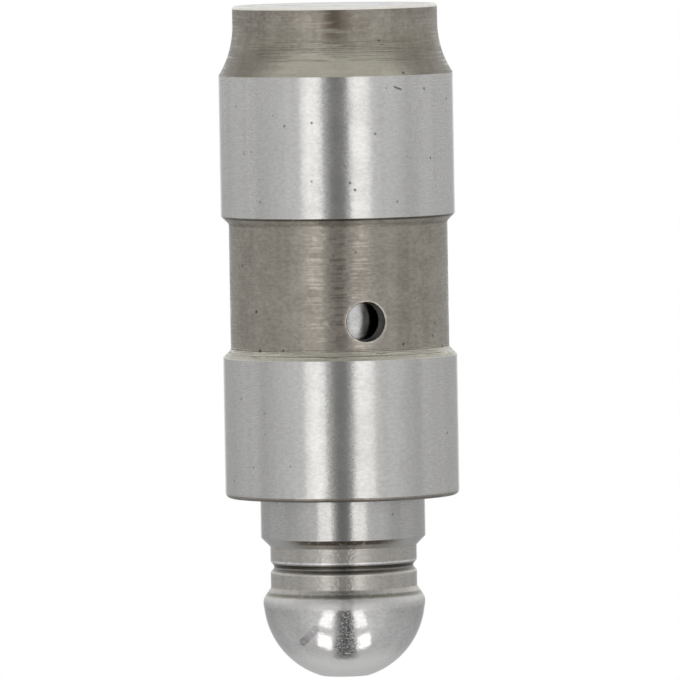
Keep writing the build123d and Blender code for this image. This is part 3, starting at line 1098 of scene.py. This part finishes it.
# World: plain white all round, for the background and for reflections
world = bpy.data.worlds.new("studio")
bpy.context.scene.world = world
nodes = Nodes(world)
background = nodes.add("ShaderNodeBackground", {"Color": (1.0, 1.0, 1.0, 1), "Strength": 1.0})
nodes.add("ShaderNodeOutputWorld", {"Surface": background.outputs["Background"]})

# Net: grey at the sides and dark where the camera stands, it dims the white that the steel shows there.
# The net, the soft boxes and the floor are placed in metres
net_reach = 1.3
net_divisions = 5
net_tint = (0.985, 0.995, 1.0)
net_dark = 0.25
net_mesh = bpy.data.meshes.new("studio_net")
work = bmesh.new()
bmesh.ops.create_icosphere(work, subdivisions=net_divisions, radius=net_reach)
work.to_mesh(net_mesh)
work.free()
net = placed("studio_net", net_mesh)
net.location = target
net.visible_camera = False
net_material = bpy.data.materials.new("studio_net")
nodes = Nodes(net_material)
spot = nodes.add("ShaderNodeTexCoord").outputs["Object"]
direction = nodes.add("ShaderNodeVectorMath", {0: spot}, operation="NORMALIZE").outputs["Vector"]
toward = nodes.dot(direction, level_to_camera)
sideways = nodes.math("ABSOLUTE", nodes.dot(direction, photo_right))
height = nodes.dot(direction, (0, 0, 1))
walls = nodes.total(
    nodes.ramp(toward, 0.0, 0.7, 0.56, 0.82),
    nodes.ramp(toward, -0.3, -0.75, 0.0, -0.08),
    nodes.ramp(toward, -0.93, -1.0, 0.0, 0.5),
    nodes.ramp(height, 0.1, 0.8, 0.0, 0.14),
)
walls = nodes.math("MINIMUM", walls, 1.0)
dark_side = nodes.product(nodes.ramp(sideways, 0.28, 0.08), nodes.ramp(toward, -0.12, 0.0))
shares = {"Factor": dark_side, "A": walls, "B": net_dark}
passed = nodes.add("ShaderNodeMix", shares, data_type="FLOAT").outputs["Result"]
tint = nodes.add("ShaderNodeVectorMath", {0: net_tint, "Scale": passed}, operation="SCALE")
clear = nodes.add("ShaderNodeBsdfTransparent", {"Color": tint.outputs["Vector"]})
nodes.add("ShaderNodeOutputMaterial", {"Surface": clear.outputs["BSDF"]})
net_mesh.materials.append(net_material)

# Soft boxes, placed in the camera's own directions: across, up along the axis, and toward the camera
box_distance = 0.6
box_radiance = 1.42
box_colour = (1.0, 0.985, 0.965)
box_ends = {
    "front": ((-0.2, 1.0), (0.24, 1.0)),
    "upper": ((0.27, 0.93), (0.515, 0.55)),
    "lower": ((0.61, 0.42), (0.84, 0.17)),
}
box_sides = {
    "right": {"front": (0.22, 0.65), "upper": (0.19, 0.44), "lower": (0.19, 0.44)},
    "left": {"front": (-0.71, -0.27), "upper": (-0.52, -0.23), "lower": (-0.48, -0.21)},
}
box_levels = {"front": 0.58, "upper": 0.68, "lower": 0.93}
for side, spans in box_sides.items():
    for part, ((up_a, near_a), (up_b, near_b)) in box_ends.items():
        across_a, across_b = spans[part]
        corner_a = Vector((0, 0, up_a)) + level_to_camera * near_a
        corner_b = Vector((0, 0, up_b)) + level_to_camera * near_b
        centre = (corner_a + corner_b) / 2 + photo_right * (across_a + across_b) / 2
        along = (corner_b - corner_a).normalized()
        face = photo_right.cross(along).normalized()
        if face.dot(centre) > 0:
            face = -face
        lamp_data = bpy.data.lights.new("softbox_%s_%s" % (side, part), "AREA")
        lamp_data.shape = "RECTANGLE"
        lamp_data.size = (across_b - across_a) * box_distance
        lamp_data.size_y = (corner_b - corner_a).length * box_distance
        lamp_data.energy = box_levels[part] * box_radiance * pi * lamp_data.size * lamp_data.size_y
        lamp_data.color = box_colour
        lamp = placed(lamp_data.name, lamp_data)
        lamp_turn = Matrix((along.cross(-face).normalized(), along, -face)).transposed()
        lamp.matrix_world = Matrix.Translation(target + centre * box_distance) @ lamp_turn.to_4x4()
        lamp.visible_camera = False

# Floor: plain pale paper, seen from above only, whose front edge is just before the tappet. The light that
# the closed end shows comes up through a hole under it
floor_reach = 1.5
floor_front = 0.016
floor_z = -0.05 * MM
floor_hole = (foot_neck_radius - 0.3) * MM
floor_columns = 64
floor_paper = (0.62, 0.62, 0.62, 1)
floor_glow = 0.55
floor_vertices = []
floor_faces = []
for column in range(floor_columns):
    angle = 2 * pi * column / floor_columns
    away = level_to_camera * cos(angle) + photo_right * sin(angle)
    reach = floor_reach
    if away.dot(level_to_camera) > 0:
        reach = min(reach, floor_front / away.dot(level_to_camera))
    floor_vertices.append((away.x * floor_hole, away.y * floor_hole, floor_z))
    floor_vertices.append((away.x * reach, away.y * reach, floor_z))
    beside = (column + 1) % floor_columns
    floor_faces.append((2 * column, 2 * column + 1, 2 * beside + 1, 2 * beside))
floor_mesh = bpy.data.meshes.new("floor")
floor_mesh.from_pydata(floor_vertices, [], floor_faces)
floor_mesh.update()
if floor_mesh.polygons[0].normal.z < 0:
    floor_mesh.flip_normals()
floor = placed("floor", floor_mesh)
floor_material = bpy.data.materials.new("floor")
nodes = Nodes(floor_material)
floor_material.cycles.emission_sampling = "NONE"
rays = nodes.add("ShaderNodeLightPath").outputs
seen = nodes.highest(rays["Is Camera Ray"], rays["Is Glossy Ray"], rays["Is Transmission Ray"])
glow = nodes.add("ShaderNodeEmission", {"Strength": nodes.product(seen, floor_glow)})
paper = nodes.add("ShaderNodeBsdfDiffuse", {"Color": floor_paper})
lit = nodes.add("ShaderNodeAddShader", {0: glow.outputs["Emission"], 1: paper.outputs["BSDF"]})
clear = nodes.add("ShaderNodeBsdfTransparent")
below = nodes.add("ShaderNodeNewGeometry").outputs["Backfacing"]
sides = nodes.add("ShaderNodeMixShader", {"Fac": below, 1: lit.outputs["Shader"], 2: clear.outputs["BSDF"]})
nodes.add("ShaderNodeOutputMaterial", {"Surface": sides.outputs["Shader"]})
floor_mesh.materials.append(floor_material)

bpy.context.scene.view_settings.view_transform = "Standard"
